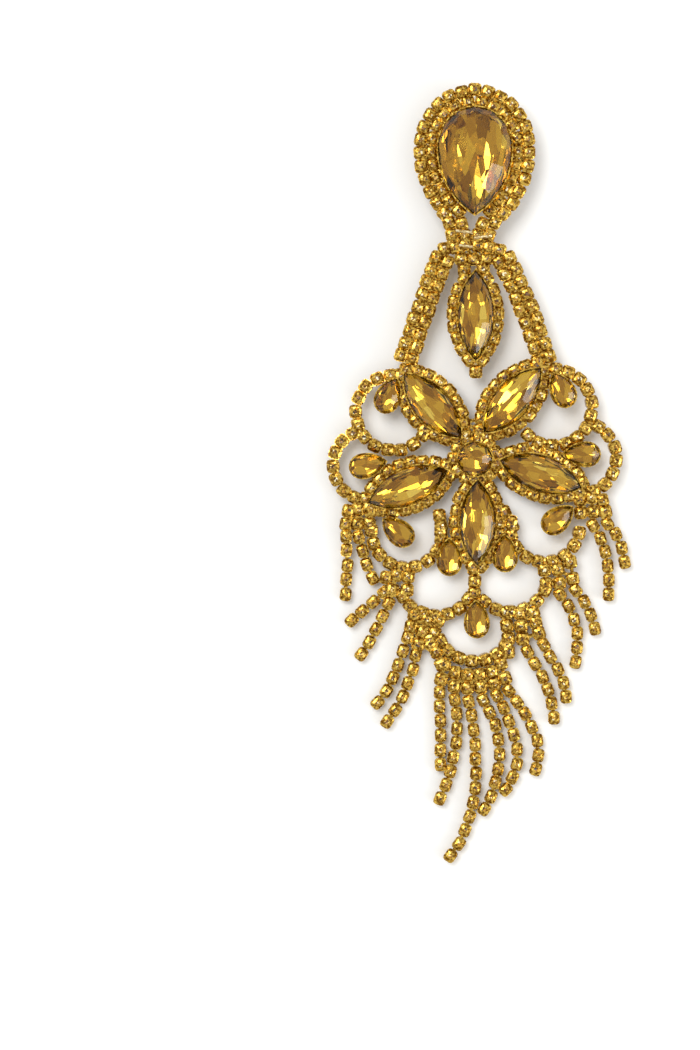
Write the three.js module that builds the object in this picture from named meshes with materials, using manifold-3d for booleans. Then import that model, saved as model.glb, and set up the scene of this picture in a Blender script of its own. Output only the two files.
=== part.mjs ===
// A long chandelier earring of gold-plated cup chain and yellow cut glass, lying on its back.
// Millimetres. +Y runs up the earring to its head, +Z is up, away from the surface that it lies on.
// The tables are measured from the middle of the flower. The soldered lattice is stiff: it leans on the
// ear clip behind the head and on its lowest comb, and the strands of the fringe lie on the surface.
import * as THREE from "three";
import Module from "manifold-3d";

const wasm = await Module();
wasm.setup();

// Cup chain: each cup holds one round stone
const CUP = { width: 1.9, length: 2.1, height: 1.75, rim: 1.05, backShare: 0.64, tableShare: 0.58 };
const CUP_SIDES = 10;
const STRAND_PITCH = 2.5;
const LANDING_CUPS = 4;
const LINK = { width: 0.5, thick: 0.35, lift: 0.35 };
const ROW = { width: 1.9, sides: 8, step: 4.1 };
const HALO_BAND = { width: 4.2, step: 4.2 };
const BAR_BAND = { width: 3.8, step: 8.4 };
const WOVEN_HEIGHT = 1.8;

// Settings and cut stones
const SEAT_GAP = 0.15;
const WALL = 0.35;
const FLOOR = 0.45;
const GIRDLE = 0.2;
const SETTING_TAPER = 0.9;
const HEAD_TAPER = 0.6;
const STONE_FACETS = 12;
const CROWN = { starHeight: 0.6, starInset: 0.24, tableInset: 0.46 };
const HEAD = {
  width: 12.6, length: 18.3, shoulder: 0.38, seat: 2.9, crown: 2.2,
  x: -0.1, y: 51.0, turn: -90,
};
const HALO = { offset: 2.0, end: 0.052 };
const TAIL_SHARE = 0.3;
const CENTRE = { width: 5.9, seat: 2.3, crown: 1.2, rim: 1.5 };
const NAVETTE = { width: 6.3, seat: 2.3, crown: 1.4, rim: 1.6 };
const RIM_CHAMFER = 0.45;
const PEAR = {
  width: 4.5, length: 6.7, shoulder: 0.36, seat: 1.5, crown: 0.9, corners: 10,
  backInset: 0.35, bezelInset: 0.12, starHeight: 0.7, starInset: 0.3, tableInset: 0.52,
};
const NOTCH = 0.3;

// The clip that grips the ear lobe, behind the head
const CLIP = { width: 9, length: 11, baseShare: 0.8, thick: 0.8, depth: 3.5, bendY: 58.5 };

const GOLD = new THREE.Color("#b58a2a");
const TOPAZ = new THREE.Color("#c9a437");

// Navettes: middle, direction of the outer tip in degrees from +X, and length
const PETALS = [
  { x: 6.4, y: 10.1, turn: 48.7, length: 14.7 },
  { x: -7.3, y: 9.2, turn: 131.7, length: 14.7 },
  { x: -11.5, y: -4.7, turn: 202.4, length: 14.7 },
  { x: 0.5, y: -10.9, turn: -90, length: 14.4 },
  { x: 11.3, y: -2.5, turn: -18.6, length: 14.7 },
];
const DROP = { x: 0.1, y: 24.6, turn: -90, length: 15.4, trimY: 33.1 };

// Scallop loops of one row of cups: middle, radius, and the angles where the arc starts and ends
const LOOPS = [
  { x: 13.6, y: 8.9, radius: 6.3, from: 97, to: -142 },
  { x: -14.0, y: 8.0, radius: 6.2, from: 84, to: 334 },
  { x: 18.3, y: 0.2, radius: 5.85, from: 72, to: -80 },
  { x: -18.2, y: -1.0, radius: 5.85, from: 106, to: 258 },
  { x: 12.1, y: -11.7, radius: 5.7, from: 2, to: -200 },
  { x: -11.7, y: -12.6, radius: 5.8, from: 166, to: 382 },
  { x: 6.1, y: -19.5, radius: 6.5, from: -142, to: -16 },
  { x: -6.5, y: -20.2, radius: 6.5, from: 200, to: 334 },
  { x: 0.0, y: -28.4, radius: 6.2, from: 196, to: 336 },
];

// Short bridges of cup chain inside the lattice, each from one cup to another
const BRIDGES = [
  { x0: 0.0, y0: -18.6, x1: 0.0, y1: -23.2 },
  { x0: -7.6, y0: -31.0, x1: -5.8, y1: -35.4 },
  { x0: 5.2, y0: -9.2, x1: 6.4, y1: -11.6 },
  { x0: -6.0, y0: -9.8, x1: -5.9, y1: -12.4 },
  { x0: 5.8, y0: -31.0, x1: 5.8, y1: -33.4 },
];

// Side bars, woven bands of two rows from the neck to the flower: ends, and how far the bar bows outwards
const BARS = [
  { x0: 4.4, y0: 34.9, x1: 12.1, y1: 16.2, bow: 0.6 },
  { x0: -5.6, y0: 34.4, x1: -12.0, y1: 16.4, bow: 0.2 },
];

// Small pears: where the tip and the round end lie
const PEARS = [
  { tipX: 13.4, tipY: 14.9, endX: 16.4, endY: 9.0 },
  { tipX: -13.3, tipY: 14.0, endX: -16.2, endY: 8.0 },
  { tipX: 15.2, tipY: 0.9, endX: 21.5, endY: 0.8 },
  { tipX: -15.3, tipY: -0.4, endX: -21.4, endY: -1.7 },
  { tipX: 17.0, tipY: -8.1, endX: 11.8, endY: -12.4 },
  { tipX: -15.9, tipY: -10.1, endX: -10.7, endY: -14.6 },
  { tipX: 5.1, tipY: -12.9, endX: 5.3, endY: -19.4 },
  { tipX: -4.4, tipY: -13.6, endX: -4.3, endY: -20.0 },
  { tipX: 0.2, tipY: -24.4, endX: 0.5, endY: -30.7 },
];

// Woven patches: rows of cups side by side, given by their outline, where the strands of the fringe start
const COMBS = {
  neck: [
    [-4.6, 41.4], [-4.8, 37.3], [-6.4, 36.0], [-3.6, 33.8], [2.6, 33.8], [5.3, 36.3],
    [3.2, 37.4], [3.6, 41.4], [0.6, 39.8], [-1.0, 39.8],
  ],
  outerRight: [
    [17.1, -5.0], [20.0, -5.2], [21.7, -6.6], [22.8, -8.8], [21.9, -9.7], [19.6, -10.0],
    [17.8, -11.2], [16.8, -8.0],
  ],
  outerLeft: [
    [-16.7, -7.2], [-19.6, -7.4], [-21.3, -8.8], [-22.6, -11.0], [-22.4, -11.9], [-19.9, -12.1],
    [-17.4, -13.0], [-16.4, -10.2],
  ],
  lowerRight: [
    [11.4, -17.9], [14.3, -16.7], [16.7, -17.4], [17.4, -19.5], [17.6, -21.2], [16.0, -21.6],
    [14.0, -22.0], [11.9, -22.7],
  ],
  lowerLeft: [
    [-16.1, -19.1], [-13.5, -18.3], [-10.8, -19.1], [-10.5, -21.6], [-11.0, -23.8], [-12.8, -23.8],
    [-14.3, -22.0], [-16.4, -20.8],
  ],
  rightBottom: [
    [4.4, -26.4], [7.0, -25.7], [10.8, -26.0], [11.6, -27.4], [12.1, -30.4], [10.4, -31.0],
    [8.9, -31.8], [4.7, -32.8], [3.8, -31.2],
  ],
  leftBottom: [
    [-10.9, -27.2], [-7.6, -27.1], [-4.6, -27.8], [-4.2, -31.2], [-6.6, -32.4], [-9.4, -31.9],
    [-10.2, -31.4], [-10.3, -29.4],
  ],
  bottom: [
    [-6.5, -32.4], [-7.0, -38.7], [-4.7, -38.9], [-3.2, -40.0], [-1.0, -40.5], [1.4, -40.0],
    [3.4, -39.4], [5.1, -38.6], [6.3, -37.6], [5.5, -33.4], [3.6, -32.4], [-0.2, -34.8],
  ],
};

// Strands: middle of the first cup, headings of the first and last link in degrees from straight down
// towards +X, how late the strand bends (1 is an even curve), and the number of cups
const STRANDS = [
  { x: -6.0, y: -40.2, from: 2, to: 0, bend: 1, cups: 6 },
  { x: -3.4, y: -41.5, from: 12, to: -24, bend: 0.8, cups: 8 },
  { x: -0.9, y: -41.9, from: 9, to: -37, bend: 1.9, cups: 12 },
  { x: 1.5, y: -41.5, from: 35, to: -30, bend: 0.9, cups: 9 },
  { x: 3.8, y: -40.8, from: 29, to: -40, bend: 1.9, cups: 8 },
  { x: 6.0, y: -39.9, from: 36, to: -20, bend: 2.2, cups: 7 },
  { x: 9.2, y: -33.2, from: 33, to: 5, bend: 1.5, cups: 6 },
  { x: 11.9, y: -32.0, from: 31, to: 5, bend: 2.5, cups: 5 },
  { x: 14.8, y: -23.3, from: 46, to: -14, bend: 0.8, cups: 6 },
  { x: 17.5, y: -22.6, from: 40, to: 12, bend: 1, cups: 4 },
  { x: 20.5, y: -11.4, from: 34, to: -4, bend: 0.8, cups: 6 },
  { x: 22.9, y: -11.0, from: 46, to: 8, bend: 0.8, cups: 4 },
  { x: -11.5, y: -30.8, from: -19, to: -44, bend: 3, cups: 6 },
  { x: -10.1, y: -33.9, from: -9, to: -34, bend: 0.8, cups: 6 },
  { x: -15.5, y: -23.0, from: -50, to: -48, bend: 1, cups: 4 },
  { x: -14.8, y: -24.9, from: -24, to: -34, bend: 1.3, cups: 5 },
  { x: -22.1, y: -13.3, from: 4, to: -6, bend: 1, cups: 5 },
  { x: -19.9, y: -13.4, from: 12, to: 26, bend: 1, cups: 4 },
];

// The lattice leans from its lowest comb up to the clip
const REST_Y = Math.min(...COMBS.bottom.map((corner) => corner[1]));
const LEAN = Math.atan((CLIP.depth + SEAT_GAP) / (CLIP.bendY - REST_Y));
const latticeBack = (y) => Math.max(0, (y - REST_Y) * Math.tan(LEAN));

const degrees = THREE.MathUtils.degToRad;

// Outlines: t runs once round the shape, anticlockwise from the tip on +X, and grow moves it outwards
function roundOutline(diameter) {
  return (t, grow) => {
    const angle = 2 * Math.PI * t;
    const radius = diameter / 2 + grow;
    return new THREE.Vector2(radius * Math.cos(angle), radius * Math.sin(angle));
  };
}

function arcSide(halfWidth, reach, grow) {
  const radius = (reach ** 2 + halfWidth ** 2) / (2 * halfWidth);
  const drop = radius - halfWidth;
  const grown = radius + grow;
  const most = Math.acos(drop / grown);
  return (share) => new THREE.Vector2(grown * Math.sin(share * most), grown * Math.cos(share * most) - drop);
}

function navetteOutline(width, length) {
  return (t, grow) => {
    const side = arcSide(width / 2, length / 2, grow);
    const upper = t < 0.5;
    const point = side(upper ? 1 - 4 * t : 4 * t - 3);
    return upper ? point : point.setY(-point.y);
  };
}

function pearOutline(width, length, shoulder) {
  const round = length * shoulder;
  const tail = length - round;
  return (t, grow) => {
    const side = arcSide(width / 2, tail, grow);
    const shift = (round - tail) / 2;
    if (t > TAIL_SHARE && t < 1 - TAIL_SHARE) {
      const angle = Math.PI * (0.5 + (t - TAIL_SHARE) / (1 - 2 * TAIL_SHARE));
      const [x, y] = [(round + grow) * Math.cos(angle), (width / 2 + grow) * Math.sin(angle)];
      return new THREE.Vector2(x + shift, y);
    }
    const upper = t <= TAIL_SHARE;
    const point = side(upper ? 1 - t / TAIL_SHARE : 1 - (1 - t) / TAIL_SHARE);
    return new THREE.Vector2(point.x + shift, upper ? point.y : -point.y);
  };
}

function placedPoint(point, place) {
  const turned = point.rotateAround(new THREE.Vector2(), degrees(place.turn ?? 0));
  return new THREE.Vector2(turned.x + place.x, turned.y + place.y);
}

// One level of a cut stone or a setting. phase 0.5 puts its corners between those of the level below.
function level(outline, place, z, grow, phase = 0, corners = STONE_FACETS) {
  const points = [];
  for (let i = 0; i < corners; i++) {
    const flat = placedPoint(outline(((i + phase) / corners) % 1, grow), place);
    points.push(new THREE.Vector3(flat.x, flat.y, z));
  }
  return { points, phase };
}

function manifoldOf(positions, corners) {
  const vertProperties = new Float32Array(positions);
  const triVerts = new Uint32Array(corners);
  return new wasm.Manifold(new wasm.Mesh({ numProp: 3, vertProperties, triVerts }));
}

// A closed solid through levels, lowest first, with flat ends and triangular facets between them
function levelSolid(levels) {
  const corners = levels[0].points.length;
  const positions = levels.flatMap((one) => one.points.flatMap((p) => [p.x, p.y, p.z]));
  const faces = [];
  for (let k = 0; k + 1 < levels.length; k++) {
    const leansBack = levels[k].phase > levels[k + 1].phase;
    const start = k * corners;
    const above = start + corners;
    const halved = levels[k + 1].points.length * 2 === corners;
    for (let i = 0; i < corners; i++) {
      const next = (i + 1) % corners;
      const [a, b] = [start + i, start + next];
      const [c, d] = halved ? [i, next].map((n) => above + Math.floor(n / 2)) : [above + i, above + next];
      if (halved) faces.push(...(i % 2 ? [a, b, d, a, d, c] : [a, b, c]));
      else faces.push(...(leansBack ? [a, b, d, a, d, c] : [a, b, c, b, d, c]));
    }
  }
  const top = (levels.length - 1) * corners;
  for (let i = 1; i + 1 < corners; i++) faces.push(0, i + 1, i);
  for (let i = 1; i + 1 < levels.at(-1).points.length; i++) faces.push(top, top + i, top + i + 1);
  return manifoldOf(positions, faces);
}

// three.js geometry to a solid, and back
function solidOf(geometry) {
  const position = geometry.getAttribute("position");
  const corner = new Map();
  const positions = [];
  const indices = [];
  const order = geometry.index?.array ?? Array.from({ length: position.count }, (_, i) => i);
  for (const i of order) {
    const point = new THREE.Vector3().fromBufferAttribute(position, i);
    const key = point.toArray().map((v) => Math.round(v * 1e4)).join();
    if (!corner.has(key)) {
      corner.set(key, corner.size);
      positions.push(...point.toArray());
    }
    indices.push(corner.get(key));
  }
  return manifoldOf(positions, indices);
}

function geometryOf(solid) {
  const { vertProperties, triVerts } = solid.getMesh();
  const geometry = new THREE.BufferGeometry();
  geometry.setAttribute("position", new THREE.BufferAttribute(vertProperties, 3));
  geometry.setIndex(new THREE.BufferAttribute(triVerts, 1));
  return geometry.toNonIndexed();
}

const joined = (solids) => solids.reduce((whole, solid) => whole.add(solid));

// Rows of cups are bars of one section along a curve
class ArcRow extends THREE.Curve {
  constructor({ x, y, radius, from, to }) {
    super();
    Object.assign(this, { x, y, radius, from, to });
  }
  getPoint(t) {
    const angle = degrees(this.from + (this.to - this.from) * t);
    const [x, y] = [this.x + this.radius * Math.cos(angle), this.y + this.radius * Math.sin(angle)];
    return new THREE.Vector3(x, y, ROW.width / 2);
  }
}

class OutlineRow extends THREE.Curve {
  constructor(outline, place, grow, from, to) {
    super();
    Object.assign(this, { outline, place, grow, from, to });
  }
  getPoint(t) {
    const flat = placedPoint(this.outline(this.from + (this.to - this.from) * t, this.grow), this.place);
    return new THREE.Vector3(flat.x, flat.y, ROW.width / 2);
  }
}

// Eight-sided section of a row, or of a band of rows side by side
function rowSection(width) {
  const radius = ROW.width / 2 / Math.cos(Math.PI / ROW.sides);
  const spread = (width - ROW.width) / 2;
  const corners = Array.from({ length: ROW.sides }, (_, i) => {
    const angle = (2 * Math.PI * (i + 0.5)) / ROW.sides;
    const [up, side] = [radius * Math.cos(angle), radius * Math.sin(angle)];
    return new THREE.Vector2(up, side + Math.sign(side) * spread);
  });
  return new THREE.Shape(corners);
}

function rowSolid(curve, width = ROW.width, step = ROW.step) {
  const steps = Math.max(1, Math.round(curve.getLength() / step));
  const sweep = { steps, extrudePath: curve, bevelEnabled: false };
  return solidOf(new THREE.ExtrudeGeometry(rowSection(width), sweep));
}

function wovenSolid(corners) {
  const outline = new THREE.Shape(corners.map(([x, y]) => new THREE.Vector2(x, y)));
  return solidOf(new THREE.ExtrudeGeometry(outline, { depth: WOVEN_HEIGHT, bevelEnabled: false }));
}

// A tapered metal tray with a pocket for its stone
function settingSolid(outline, place, seat, taper) {
  const body = levelSolid([
    level(outline, place, 0, WALL + SEAT_GAP - taper),
    level(outline, place, seat + GIRDLE, WALL + SEAT_GAP),
  ]);
  return body.subtract(settingPocket(outline, place, seat, taper));
}

function settingPocket(outline, place, seat, taper) {
  const slope = taper / (seat + GIRDLE);
  return levelSolid([
    level(outline, place, FLOOR, SEAT_GAP - taper + slope * FLOOR),
    level(outline, place, seat + GIRDLE + 1, SEAT_GAP + slope),
  ]);
}

// A cut stone: small flat back, pavilion, girdle, two rows of crown facets and a table
function cutStone(outline, place, { width, seat, crown }, taper = SETTING_TAPER) {
  const half = width / 2;
  const back = FLOOR + SEAT_GAP;
  const backGrow = -taper * (1 - back / (seat + GIRDLE)) - SEAT_GAP;
  return levelSolid([
    level(outline, place, back, backGrow),
    level(outline, place, seat, 0),
    level(outline, place, seat + GIRDLE, 0),
    level(outline, place, seat + GIRDLE + crown * CROWN.starHeight, -half * CROWN.starInset, 0.5),
    level(outline, place, seat + GIRDLE + crown, -half * CROWN.tableInset),
  ]);
}

const headOutline = pearOutline(HEAD.width, HEAD.length, HEAD.shoulder);
const centreOutline = roundOutline(CENTRE.width);
const centrePlace = { x: 0, y: 0 };
const navette = (stone) => navetteOutline(NAVETTE.width, stone.length);

// A setting with its rim, one row of cups all round: the rim below, the stone's tray above it
function rimmedSetting(outline, place, seat, rim) {
  const body = levelSolid([
    level(outline, place, 0, rim - RIM_CHAMFER),
    level(outline, place, ROW.width / 2, rim),
    level(outline, place, ROW.width, rim - RIM_CHAMFER),
    level(outline, place, seat + GIRDLE, WALL + SEAT_GAP),
  ]);
  return body.subtract(settingPocket(outline, place, seat, SETTING_TAPER));
}

const navetteSetting = (stone) => rimmedSetting(navette(stone), stone, NAVETTE.seat, NAVETTE.rim);

function barBand({ x0, y0, x1, y1, bow }) {
  const z = ROW.width / 2;
  const outwards = Math.sign(x1);
  const middle = new THREE.Vector3((x0 + x1) / 2 + 2 * bow * outwards, (y0 + y1) / 2, z);
  const ends = [new THREE.Vector3(x0, y0, z), new THREE.Vector3(x1, y1, z)];
  return rowSolid(new THREE.QuadraticBezierCurve3(ends[0], middle, ends[1]), BAR_BAND.width, BAR_BAND.step);
}

function straightRow({ x0, y0, x1, y1 }) {
  const z = ROW.width / 2;
  return rowSolid(new THREE.LineCurve3(new THREE.Vector3(x0, y0, z), new THREE.Vector3(x1, y1, z)));
}

// The head's setting inside its halo, a band of two rows round the pear
function headSolids() {
  const halo = new OutlineRow(headOutline, HEAD, HALO.offset, HALO.end, 1 - HALO.end);
  const setting = settingSolid(headOutline, HEAD, HEAD.seat, HEAD_TAPER);
  return [setting, rowSolid(halo, HALO_BAND.width, HALO_BAND.step)];
}

function pearPlace({ tipX, tipY, endX, endY }) {
  const turn = THREE.MathUtils.radToDeg(Math.atan2(tipY - endY, tipX - endX));
  return { x: (tipX + endX) / 2, y: (tipY + endY) / 2, turn };
}

const smallPearOutline = pearOutline(PEAR.width, PEAR.length, PEAR.shoulder);

// A small pear fused with its setting: tapered cup, bezel, two rows of facets and a table
function smallPear(pear) {
  const place = pearPlace(pear);
  const half = PEAR.width / 2;
  const ring = (z, inset, phase = 0) =>
    level(smallPearOutline, place, z, -half * inset, phase, PEAR.corners);
  return levelSolid([
    ring(0, PEAR.backInset),
    ring(PEAR.seat, 0),
    ring(PEAR.seat + GIRDLE, PEAR.bezelInset),
    ring(PEAR.seat + PEAR.crown * PEAR.starHeight, PEAR.starInset, 0.5),
    ring(PEAR.seat + PEAR.crown, PEAR.tableInset),
  ]);
}

// The clearance round a small pear, where its tip meets the row that it is soldered to
function pearNotch(pear) {
  const place = pearPlace(pear);
  return levelSolid([
    level(smallPearOutline, place, -1, NOTCH, 0, PEAR.corners),
    level(smallPearOutline, place, PEAR.seat + PEAR.crown + 1, NOTCH, 0, PEAR.corners),
  ]);
}

// Everything that is soldered together: head, neck, bars, flower, loops and combs
function solderedFrame() {
  const lattice = joined([
    ...headSolids(),
    rimmedSetting(centreOutline, centrePlace, CENTRE.seat, CENTRE.rim),
    ...PETALS.map(navetteSetting),
    ...LOOPS.map((loop) => rowSolid(new ArcRow(loop))),
    ...BARS.map(barBand),
    ...BRIDGES.map(straightRow),
    ...Object.values(COMBS).map(wovenSolid),
  ]);
  const pockets = [
    settingPocket(headOutline, HEAD, HEAD.seat, HEAD_TAPER),
    settingPocket(centreOutline, centrePlace, CENTRE.seat, SETTING_TAPER),
    ...PETALS.map((petal) => settingPocket(navette(petal), petal, NAVETTE.seat, SETTING_TAPER)),
    ...PEARS.map(pearNotch),
  ];
  return pockets.reduce((left, pocket) => left.subtract(pocket), lattice);
}

// The drop hangs from the neck on two cups, and ends in a third
const DROP_CUPS = [
  { x: -1.85, y: 32.5 },
  { x: 1.45, y: 32.5 },
  { x: 0.2, y: 14.8 },
];

function dropFrame() {
  const cups = DROP_CUPS.map((cup) => cupSolid(cup.x, cup.y, 0, 90, CUP.width));
  const above = new THREE.BoxGeometry(NAVETTE.width, 4, 4).translate(DROP.x, DROP.trimY + 2, 2);
  return joined([navetteSetting(DROP).subtract(solidOf(above)), ...cups]);
}

// One cup with its round stone: tapered wall, a row of crown facets and a table
function cupSolid(x, y, z, turn, length = CUP.length) {
  const stretch = length / CUP.width;
  const outline = (t, grow) => {
    const angle = 2 * Math.PI * t;
    const radius = CUP.width / 2 + grow;
    return new THREE.Vector2(radius * stretch * Math.cos(angle), radius * Math.sin(angle));
  };
  const half = CUP.width / 2;
  return levelSolid([
    level(outline, { x, y, turn }, z, -half * (1 - CUP.backShare), 0.5, CUP_SIDES),
    level(outline, { x, y, turn }, z + CUP.rim, 0, 0.5, CUP_SIDES),
    level(outline, { x, y, turn }, z + CUP.height, -half * (1 - CUP.tableShare), 0.25, CUP_SIDES / 2),
  ]);
}

// The flat brass link between two cups
function linkSolid(a, b) {
  const span = b.clone().sub(a);
  const link = new THREE.BoxGeometry(span.length(), LINK.width, LINK.thick);
  const across = new THREE.Vector3(-span.y, span.x, 0).normalize();
  const along = span.clone().normalize();
  const up = along.clone().cross(across);
  const middle = a.clone().add(b).multiplyScalar(0.5);
  const turn = new THREE.Matrix4().makeBasis(along, across, up);
  turn.setPosition(middle.x, middle.y, middle.z + LINK.lift + LINK.thick / 2);
  return solidOf(link.applyMatrix4(turn));
}

// Where the cups of a strand lie: it leaves the lattice at that height and comes down on the surface
function strandCups(strand) {
  const lift = latticeBack(strand.y);
  const cups = [];
  const at = new THREE.Vector3(strand.x, strand.y, lift);
  for (let i = 0; i < strand.cups; i++) {
    const share = (i + 0.5) / (strand.cups - 1);
    const heading = strand.from + (strand.to - strand.from) * Math.min(share, 1) ** strand.bend;
    cups.push({ at: at.clone(), turn: heading - 90 });
    at.x += STRAND_PITCH * Math.sin(degrees(heading));
    at.y -= STRAND_PITCH * Math.cos(degrees(heading));
    at.z = lift * Math.max(0, 1 - (i + 1) / LANDING_CUPS) ** 2;
  }
  return cups;
}

function strandSolid(strand) {
  const cups = strandCups(strand);
  const solids = cups.map(({ at, turn }) => cupSolid(at.x, at.y, at.z, turn));
  const links = cups.slice(1).map((cup, i) => linkSolid(cups[i].at, cup.at));
  return joined([...solids, ...links]);
}

// The clip's side view, swept across: paddle on the surface, round bend at the top, base under the head
function earClip() {
  const { width, length, baseShare, thick, depth, bendY } = CLIP;
  const outer = depth / 2;
  const inner = outer - thick;
  const bend = bendY - outer;
  const profile = new THREE.Shape();
  const base = length * baseShare;
  const fall = Math.sin(LEAN) * base;
  profile.moveTo(bend - length, 0);
  profile.lineTo(bend, 0);
  profile.absarc(bend, outer, outer, -Math.PI / 2, Math.PI / 2, false);
  profile.lineTo(bend - base, depth - fall);
  profile.lineTo(bend - base, depth - fall - thick);
  profile.lineTo(bend, depth - thick);
  profile.absarc(bend, outer, inner, Math.PI / 2, -Math.PI / 2, true);
  profile.lineTo(bend - length, thick);
  const swept = new THREE.ExtrudeGeometry(profile, { depth: width, bevelEnabled: false, curveSegments: 6 });
  const axes = [new THREE.Vector3(0, 1, 0), new THREE.Vector3(0, 0, 1), new THREE.Vector3(1, 0, 0)];
  swept.applyMatrix4(new THREE.Matrix4().makeBasis(...axes));
  return solidOf(swept.translate(HEAD.x - width / 2, 0, 0));
}

const metal = () => new THREE.MeshStandardMaterial({ color: GOLD, metalness: 1, roughness: 0.25 });
const glass = () => new THREE.MeshStandardMaterial({ color: TOPAZ, metalness: 0.3, roughness: 0.05 });

function mesh(name, solid, material) {
  const made = new THREE.Mesh(geometryOf(solid), material);
  made.name = name;
  return made;
}

// The stiff lattice with its stones, in its own plane
const lattice = new THREE.Group();
lattice.add(mesh("soldered_frame", solderedFrame(), metal()));
lattice.add(mesh("drop_frame", dropFrame(), metal()));
lattice.add(mesh("head_stone", cutStone(headOutline, HEAD, HEAD, HEAD_TAPER), glass()));
lattice.add(mesh("centre_stone", cutStone(centreOutline, centrePlace, CENTRE), glass()));
const navetteStone = (stone) => cutStone(navette(stone), stone, NAVETTE);
lattice.add(mesh("drop_stone", navetteStone(DROP), glass()));
PETALS.forEach((petal, i) => lattice.add(mesh(`petal_stone_${i + 1}`, navetteStone(petal), glass())));
PEARS.forEach((pear, i) => lattice.add(mesh(`pear_${i + 1}`, smallPear(pear), glass())));
lattice.rotation.x = LEAN;
lattice.position.z = -REST_Y * Math.sin(LEAN);

// The loose fringe and the clip, which lie on the surface
const loose = new THREE.Group();
STRANDS.forEach((strand, i) => loose.add(mesh(`strand_${i + 1}`, strandSolid(strand), metal())));
loose.add(mesh("ear_clip", earClip(), metal()));

// The origin is under the middle of the whole earring, on the surface
const earring = new THREE.Group();
earring.add(lattice, loose);
earring.updateMatrixWorld(true);
const box = new THREE.Box3().setFromObject(earring, true);
const middle = box.getCenter(new THREE.Vector3());
earring.position.set(-middle.x, -middle.y, -box.min.z);

export default earring;
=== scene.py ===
import math
import random

import bpy
from mathutils import Matrix, Vector


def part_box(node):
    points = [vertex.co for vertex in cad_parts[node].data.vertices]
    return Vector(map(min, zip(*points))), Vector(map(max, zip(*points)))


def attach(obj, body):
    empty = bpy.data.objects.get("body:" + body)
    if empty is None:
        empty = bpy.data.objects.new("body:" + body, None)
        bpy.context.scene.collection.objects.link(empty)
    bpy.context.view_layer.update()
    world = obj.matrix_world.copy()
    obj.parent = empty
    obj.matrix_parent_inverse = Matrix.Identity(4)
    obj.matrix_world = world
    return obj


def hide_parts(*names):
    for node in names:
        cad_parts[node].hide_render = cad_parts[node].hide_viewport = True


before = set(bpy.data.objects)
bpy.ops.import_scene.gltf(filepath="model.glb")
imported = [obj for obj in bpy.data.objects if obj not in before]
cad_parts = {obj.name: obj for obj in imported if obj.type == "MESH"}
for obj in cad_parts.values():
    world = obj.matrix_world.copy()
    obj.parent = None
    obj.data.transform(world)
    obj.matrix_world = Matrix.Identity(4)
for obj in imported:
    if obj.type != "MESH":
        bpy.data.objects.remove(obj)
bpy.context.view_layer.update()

# The earring lies on its back. Its soldered lattice is stiff, and leans from its lowest comb on the surface
# up to the ear clip behind the head. Sizes are in millimetres, in the lattice's own plane, from the middle
# of the flower; one matrix takes a finished piece from there to its place on the surface.
MM = 0.001
REST_Y = -40.5
CLIP_TOP_Y = 58.5
CLIP_LIFT = 3.65
LEAN = math.atan(CLIP_LIFT / (CLIP_TOP_Y - REST_Y))
flower_low, flower_high = (Vector(corner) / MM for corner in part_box("centre_stone"))
flower_x = (flower_low.x + flower_high.x) / 2
flower_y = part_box("ear_clip")[1][1] / MM - CLIP_TOP_Y
ON_SURFACE = Matrix.Scale(MM, 4) @ Matrix.Translation((flower_x, flower_y, 0))
LEANING = Matrix.Translation((0, 0, -REST_Y * math.sin(LEAN))) @ Matrix.Rotation(LEAN, 4, "X")
IN_LATTICE = ON_SURFACE @ LEANING


# The brass of the chain: stamped cups, plated with yellow gold and tumbled bright. Its colour is speckled in
# patches
# from dark brown to pale gold: partly the thin plating's drift, partly painted highlights and painted shade
# that stand in for the polish's reflections. Tumbling leaves satin patches in the polish. Real ones are
# under 0.1 mm; they are drawn at 0.5 mm, because finer ones wouldn't show.
def linear(hex_colour):
    """An sRGB hex colour as linear values."""
    values = [int(hex_colour[i:i + 2], 16) / 255 for i in (1, 3, 5)]
    return [v / 12.92 if v <= 0.04045 else ((v + 0.055) / 1.055) ** 2.4 for v in values] + [1.0]


def add_node(tree, kind, settings=None, stops=(), **links):
    """Adds a node with its settings and colour stops, and links or sets its inputs by name."""
    node = tree.nodes.new(kind)
    for name, value in (settings or {}).items():
        setattr(node, name, value)
    for share, _ in stops[2:]:
        node.color_ramp.elements.new(share)
    for number, (share, colour) in enumerate(stops):
        node.color_ramp.elements[number].position = share
        node.color_ramp.elements[number].color = linear(colour)
    for name, value in links.items():
        socket = node.inputs[int(name[1:])] if name[0] == "_" else node.inputs[name.replace("_", " ")]
        if isinstance(value, bpy.types.NodeSocket):
            tree.links.new(value, socket)
        else:
            socket.default_value = value
    return node


def new_material(name):
    """An empty node material with its shader and the object's own coordinates."""
    material = bpy.data.materials.new(name)
    material.use_nodes = True
    tree = material.node_tree
    shader = tree.nodes["Principled BSDF"]
    place = add_node(tree, "ShaderNodeTexCoord").outputs["Object"]
    return material, tree, shader, place


PLATING_AND_GLINT_PATCH = 0.5 * MM
PLATING_AND_GLINT_TONES = ((0.44, "#7C5010"), (0.58, "#EFC75C"))
plated_brass, tree, shader, place = new_material("gold_plated_brass")
patches = add_node(
    tree, "ShaderNodeTexNoise", Vector=place, Scale=1 / PLATING_AND_GLINT_PATCH, Detail=4.0, Roughness=0.7
).outputs["Fac"]
# Painted highlights and painted shade: the brass tone is speckled from dark brown to pale gold over the
# plating's drift.
tone = add_node(tree, "ShaderNodeValToRGB", stops=PLATING_AND_GLINT_TONES, Fac=patches)
polish = add_node(tree, "ShaderNodeMapRange", Value=patches, To_Min=0.14, To_Max=0.36)
tree.links.new(tone.outputs["Color"], shader.inputs["Base Color"])
tree.links.new(polish.outputs["Result"], shader.inputs["Roughness"])
shader.inputs["Metallic"].default_value = 1.0
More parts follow.
